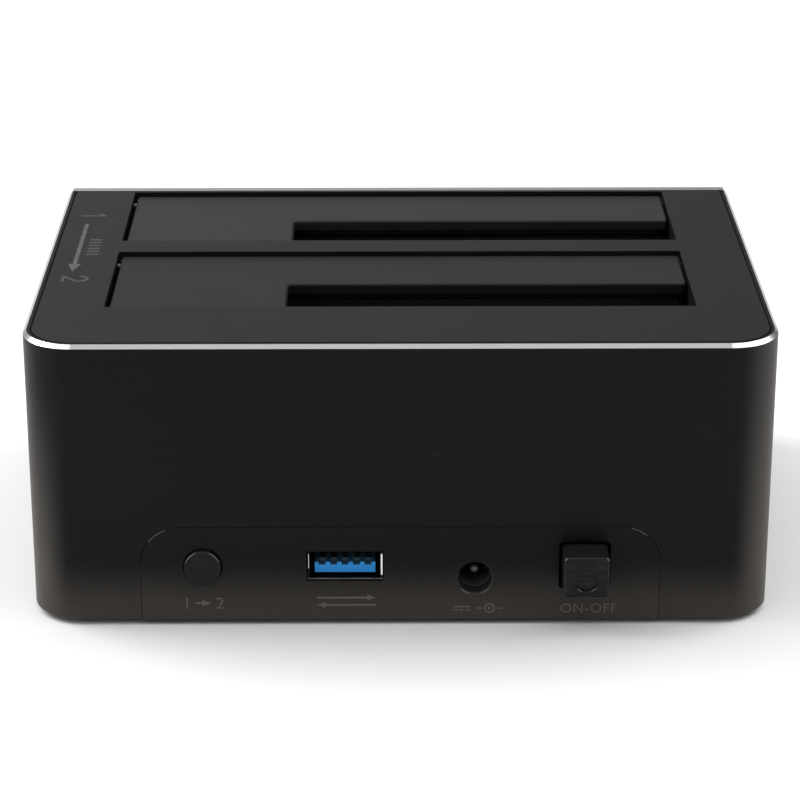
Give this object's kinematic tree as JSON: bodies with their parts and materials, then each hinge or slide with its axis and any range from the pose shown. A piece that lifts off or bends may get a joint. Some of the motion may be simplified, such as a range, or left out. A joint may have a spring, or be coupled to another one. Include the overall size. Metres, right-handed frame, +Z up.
{
  "type": "drive duplicator",
  "caption": "Low black box that copies one drive to another, with flapped drive bays in the top and buttons and ports in the near wall.",
  "frame": {"origin": "middle of the overall box, on the surface the feet stand on", "axes": "+X to the right seen from the port side, +Y from the port side to the front plate, +Z up"},
  "size_m": [0.13, 0.095, 0.0524],
  "materials": {
    "anodised_aluminium": "fine matt black anodise, bright cut edge chamfers",
    "top_plastic": "fine grained satin black moulding",
    "frame_plastic": "plain black moulding",
    "port_plastic": "fine grained black moulding",
    "button_plastic": "smooth black with worn satin face",
    "steel_pin": "drawn steel",
    "spring_steel": "drawn spring wire",
    "screw_steel": "black zinc",
    "foot_rubber": "soft black rubber",
    "board_laminate": "green solder mask over laminate",
    "socket_plastic": "glass filled black plastic",
    "gold_contact": "thin gold plate",
    "tin_shield": "bright nickel plate",
    "tongue_blue": "blue moulding",
    "contact_silver": "nickel plate",
    "chip_black": "moulded resin with tinned leads",
    "crystal_can": "pressed tin can",
    "coil_ferrite": "grey ferrite",
    "capacitor_sleeve": "bare can with a dark polarity band",
    "led_lens": "milky resin",
    "clear_pipe": "clear moulded plastic"
  },
  "bodies": {
    "housing": {"shell": "anodised_aluminium", "front_plate": "anodised_aluminium", "top_panel": "top_plastic", "bay_frame": "frame_plastic", "base_plate": "frame_plastic", "rubber_feet": "foot_rubber", "base_screws": "screw_steel", "frame_screws": "screw_steel", "board_screws": "screw_steel", "flap_pins_1": "steel_pin", "flap_pins_2": "steel_pin", "flap_spring_1": "spring_steel", "flap_spring_2": "spring_steel", "io_panel": "port_plastic", "tact_switch": "socket_plastic", "data_port_shell": "tin_shield", "data_port_tongue": "tongue_blue", "data_port_contacts": "gold_contact", "dc_jack_body": "socket_plastic", "dc_jack_pin": "contact_silver", "dc_jack_contact": "contact_silver", "power_switch": "socket_plastic", "main_board": "board_laminate", "drive_socket_1": "socket_plastic", "drive_socket_2": "socket_plastic", "socket_contacts_1": "gold_contact", "socket_contacts_2": "gold_contact", "bridge_chip": "chip_black", "copy_chip": "chip_black", "memory_chip": "chip_black", "power_chip": "chip_black", "crystal": "crystal_can", "inductors": "coil_ferrite", "capacitors": "capacitor_sleeve", "status_leds": "led_lens", "light_pipe": "clear_pipe"},
    "flap_1": {"flap_1": "top_plastic"},
    "flap_2": {"flap_2": "top_plastic"},
    "power_button": {"power_button": "button_plastic", "power_stem": "socket_plastic"},
    "copy_button": {"copy_button": "button_plastic"},
    "tact_plunger": {"tact_plunger": "socket_plastic"}
  },
  "joints": [
    {"name": "flap_1_hinge", "type": "hinge", "parent": "housing", "child": "flap_1", "pos_m": [0, 0.04235, 0.05015], "axis": [1, 0, 0], "range_deg": [0, 90], "stiffness_Nm_per_rad": 0.005, "springref_deg": -45.84, "deforming": ["flap_spring_1"]},
    {"name": "flap_2_hinge", "type": "hinge", "parent": "housing", "child": "flap_2", "pos_m": [0, 0.00565, 0.05015], "axis": [1, 0, 0], "range_deg": [0, 90], "stiffness_Nm_per_rad": 0.005, "springref_deg": -45.84, "deforming": ["flap_spring_2"]},
    {"name": "power_button_press", "type": "slide", "parent": "housing", "child": "power_button", "axis": [0, 1, 0], "range_m": [0, 0.0025], "stiffness_N_per_m": 400, "springref_m": -0.003},
    {"name": "copy_button_press", "type": "slide", "parent": "housing", "child": "copy_button", "axis": [0, 1, 0], "range_m": [0, 0.0006], "stiffness_N_per_m": 150, "springref_m": -0.003},
    {"name": "tact_plunger_press", "type": "slide", "parent": "housing", "child": "tact_plunger", "axis": [0, 1, 0], "range_m": [0, 0.0006]}
  ],
  "couplings": [
    {"joint": "tact_plunger_press", "follows": "copy_button_press", "ratio": 1}
  ]
}
